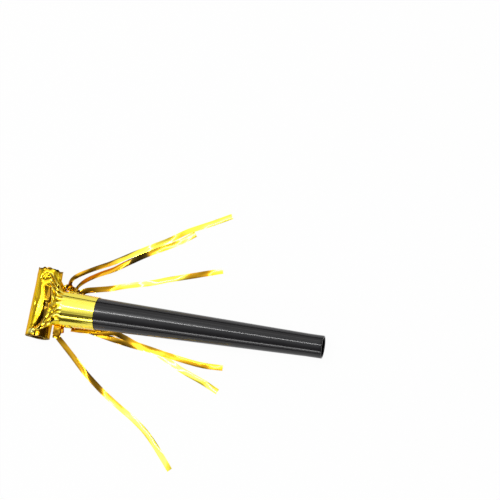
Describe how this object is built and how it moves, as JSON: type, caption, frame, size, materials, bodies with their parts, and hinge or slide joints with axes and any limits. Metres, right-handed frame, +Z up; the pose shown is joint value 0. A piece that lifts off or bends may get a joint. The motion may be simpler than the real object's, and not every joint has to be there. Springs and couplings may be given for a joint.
{
  "type": "party horn blower",
  "caption": "Party horn blower: tapered dark tube with a reed, gold foil streamers and a rolled foil blow-out that unrolls when blown and springs back.",
  "frame": {"origin": "middle of the blower's footprint on the table, streamers left out", "axes": "+X from the roll to the mouth, +Z up from the table, +Y across the roll"},
  "size_m": [0.1642, 0.1439, 0.0198],
  "materials": {
    "horn_plastic": "gloss dark slate",
    "reed_plastic": "matt ivory",
    "tongue_plastic": "smooth clear-grey film",
    "gold_foil": "metallised mirror gold film",
    "streamer_foil": "metallised mirror gold film",
    "spring_strip": "bright spring steel"
  },
  "bodies": {
    "horn": {"horn_tube": "horn_plastic", "reed_holder": "reed_plastic", "reed_clamp": "reed_plastic", "foil_cuff": "gold_foil", "foil_neck": "gold_foil", "fringe_band": "gold_foil", "spring_link_00": "spring_strip", "streamer_1": "streamer_foil", "streamer_2": "streamer_foil", "streamer_3": "streamer_foil", "streamer_4": "streamer_foil", "streamer_5": "streamer_foil", "streamer_6": "streamer_foil"},
    "reed_tongue": {"reed_tongue": "tongue_plastic"},
    "turn_01": {"foil_panel_01": "gold_foil", "spring_link_01": "spring_strip"},
    "turn_02": {"foil_panel_02": "gold_foil", "spring_link_02": "spring_strip"},
    "turn_03": {"foil_panel_03": "gold_foil", "spring_link_03": "spring_strip"},
    "turn_04": {"foil_panel_04": "gold_foil", "spring_link_04": "spring_strip"},
    "turn_05": {"foil_panel_05": "gold_foil", "spring_link_05": "spring_strip"},
    "turn_06": {"foil_panel_06": "gold_foil", "spring_link_06": "spring_strip"},
    "turn_07": {"foil_panel_07": "gold_foil", "spring_link_07": "spring_strip"},
    "turn_08": {"foil_panel_08": "gold_foil", "spring_link_08": "spring_strip"},
    "turn_09": {"foil_panel_09": "gold_foil", "spring_link_09": "spring_strip"},
    "turn_10": {"foil_panel_10": "gold_foil", "spring_link_10": "spring_strip"},
    "turn_11": {"foil_panel_11": "gold_foil", "spring_link_11": "spring_strip"},
    "turn_12": {"foil_panel_12": "gold_foil", "spring_link_12": "spring_strip"},
    "turn_13": {"foil_panel_13": "gold_foil", "spring_link_13": "spring_strip"},
    "turn_14": {"foil_panel_14": "gold_foil", "spring_link_14": "spring_strip"},
    "turn_15": {"foil_panel_15": "gold_foil", "spring_link_15": "spring_strip"},
    "turn_16": {"foil_panel_16": "gold_foil", "spring_link_16": "spring_strip"},
    "turn_17": {"foil_panel_17": "gold_foil", "spring_link_17": "spring_strip"},
    "turn_18": {"foil_panel_18": "gold_foil", "spring_link_18": "spring_strip"},
    "turn_19": {"foil_panel_19": "gold_foil", "spring_link_19": "spring_strip"},
    "turn_20": {"foil_panel_20": "gold_foil", "spring_link_20": "spring_strip"},
    "turn_21": {"foil_panel_21": "gold_foil", "spring_link_21": "spring_strip"},
    "turn_22": {"foil_panel_22": "gold_foil", "spring_link_22": "spring_strip", "tip_seal": "gold_foil"}
  },
  "joints": [
    {"name": "reed_flex", "type": "hinge", "parent": "horn", "child": "reed_tongue", "pos_m": [-0.05044, -0.002, 0.00992], "axis": [0, 1, 0], "range_deg": [-1, 2.2], "stiffness_Nm_per_rad": 0.0005},
    {"name": "unroll_01", "type": "hinge", "parent": "horn", "child": "turn_01", "pos_m": [-0.0779, 0, 0.01396], "axis": [0, 1, 0], "range_deg": [0, 54], "stiffness_Nm_per_rad": 0.0005, "springref_deg": -22.92},
    {"name": "unroll_02", "type": "hinge", "parent": "turn_01", "child": "turn_02", "pos_m": [-0.082, 0, 0.00986], "axis": [0, 1, 0], "range_deg": [0, 45]},
    {"name": "unroll_03", "type": "hinge", "parent": "turn_02", "child": "turn_03", "pos_m": [-0.082, 0, 0.00417], "axis": [0, 1, 0], "range_deg": [0, 45]},
    {"name": "unroll_04", "type": "hinge", "parent": "turn_03", "child": "turn_04", "pos_m": [-0.07806, 0, 0.00023], "axis": [0, 1, 0], "range_deg": [0, 45]},
    {"name": "unroll_05", "type": "hinge", "parent": "turn_04", "child": "turn_05", "pos_m": [-0.07259, 0, 0.00023], "axis": [0, 1, 0], "range_deg": [0, 45]},
    {"name": "unroll_06", "type": "hinge", "parent": "turn_05", "child": "turn_06", "pos_m": [-0.0688, 0, 0.00402], "axis": [0, 1, 0], "range_deg": [0, 45]},
    {"name": "unroll_07", "type": "hinge", "parent": "turn_06", "child": "turn_07", "pos_m": [-0.0688, 0, 0.00927], "axis": [0, 1, 0], "range_deg": [0, 45]},
    {"name": "unroll_08", "type": "hinge", "parent": "turn_07", "child": "turn_08", "pos_m": [-0.07243, 0, 0.0129], "axis": [0, 1, 0], "range_deg": [0, 45]},
    {"name": "unroll_09", "type": "hinge", "parent": "turn_08", "child": "turn_09", "pos_m": [-0.07746, 0, 0.0129], "axis": [0, 1, 0], "range_deg": [0, 45]},
    {"name": "unroll_10", "type": "hinge", "parent": "turn_09", "child": "turn_10", "pos_m": [-0.08094, 0, 0.00942], "axis": [0, 1, 0], "range_deg": [0, 45]},
    {"name": "unroll_11", "type": "hinge", "parent": "turn_10", "child": "turn_11", "pos_m": [-0.08094, 0, 0.00461], "axis": [0, 1, 0], "range_deg": [0, 45]},
    {"name": "unroll_12", "type": "hinge", "parent": "turn_11", "child": "turn_12", "pos_m": [-0.07762, 0, 0.00129], "axis": [0, 1, 0], "range_deg": [0, 45]},
    {"name": "unroll_13", "type": "hinge", "parent": "turn_12", "child": "turn_13", "pos_m": [-0.07303, 0, 0.00129], "axis": [0, 1, 0], "range_deg": [0, 45]},
    {"name": "unroll_14", "type": "hinge", "parent": "turn_13", "child": "turn_14", "pos_m": [-0.06986, 0, 0.00446], "axis": [0, 1, 0], "range_deg": [0, 45]},
    {"name": "unroll_15", "type": "hinge", "parent": "turn_14", "child": "turn_15", "pos_m": [-0.06986, 0, 0.00883], "axis": [0, 1, 0], "range_deg": [0, 45]},
    {"name": "unroll_16", "type": "hinge", "parent": "turn_15", "child": "turn_16", "pos_m": [-0.07287, 0, 0.01184], "axis": [0, 1, 0], "range_deg": [0, 45]},
    {"name": "unroll_17", "type": "hinge", "parent": "turn_16", "child": "turn_17", "pos_m": [-0.07702, 0, 0.01184], "axis": [0, 1, 0], "range_deg": [0, 45]},
    {"name": "unroll_18", "type": "hinge", "parent": "turn_17", "child": "turn_18", "pos_m": [-0.07988, 0, 0.00898], "axis": [0, 1, 0], "range_deg": [0, 45]},
    {"name": "unroll_19", "type": "hinge", "parent": "turn_18", "child": "turn_19", "pos_m": [-0.07988, 0, 0.00505], "axis": [0, 1, 0], "range_deg": [0, 45]},
    {"name": "unroll_20", "type": "hinge", "parent": "turn_19", "child": "turn_20", "pos_m": [-0.07718, 0, 0.00235], "axis": [0, 1, 0], "range_deg": [0, 45]},
    {"name": "unroll_21", "type": "hinge", "parent": "turn_20", "child": "turn_21", "pos_m": [-0.07347, 0, 0.00235], "axis": [0, 1, 0], "range_deg": [0, 45]},
    {"name": "unroll_22", "type": "hinge", "parent": "turn_21", "child": "turn_22", "pos_m": [-0.07092, 0, 0.0049], "axis": [0, 1, 0], "range_deg": [0, 45]}
  ],
  "couplings": [
    {"joint": "unroll_02", "follows": "unroll_01", "ratio": 0.83333},
    {"joint": "unroll_03", "follows": "unroll_01", "ratio": 0.83333},
    {"joint": "unroll_04", "follows": "unroll_01", "ratio": 0.83333},
    {"joint": "unroll_05", "follows": "unroll_01", "ratio": 0.83333},
    {"joint": "unroll_06", "follows": "unroll_01", "ratio": 0.83333},
    {"joint": "unroll_07", "follows": "unroll_01", "ratio": 0.83333},
    {"joint": "unroll_08", "follows": "unroll_01", "ratio": 0.83333},
    {"joint": "unroll_09", "follows": "unroll_01", "ratio": 0.83333},
    {"joint": "unroll_10", "follows": "unroll_01", "ratio": 0.83333},
    {"joint": "unroll_11", "follows": "unroll_01", "ratio": 0.83333},
    {"joint": "unroll_12", "follows": "unroll_01", "ratio": 0.83333},
    {"joint": "unroll_13", "follows": "unroll_01", "ratio": 0.83333},
    {"joint": "unroll_14", "follows": "unroll_01", "ratio": 0.83333},
    {"joint": "unroll_15", "follows": "unroll_01", "ratio": 0.83333},
    {"joint": "unroll_16", "follows": "unroll_01", "ratio": 0.83333},
    {"joint": "unroll_17", "follows": "unroll_01", "ratio": 0.83333},
    {"joint": "unroll_18", "follows": "unroll_01", "ratio": 0.83333},
    {"joint": "unroll_19", "follows": "unroll_01", "ratio": 0.83333},
    {"joint": "unroll_20", "follows": "unroll_01", "ratio": 0.83333},
    {"joint": "unroll_21", "follows": "unroll_01", "ratio": 0.83333},
    {"joint": "unroll_22", "follows": "unroll_01", "ratio": 0.83333}
  ]
}
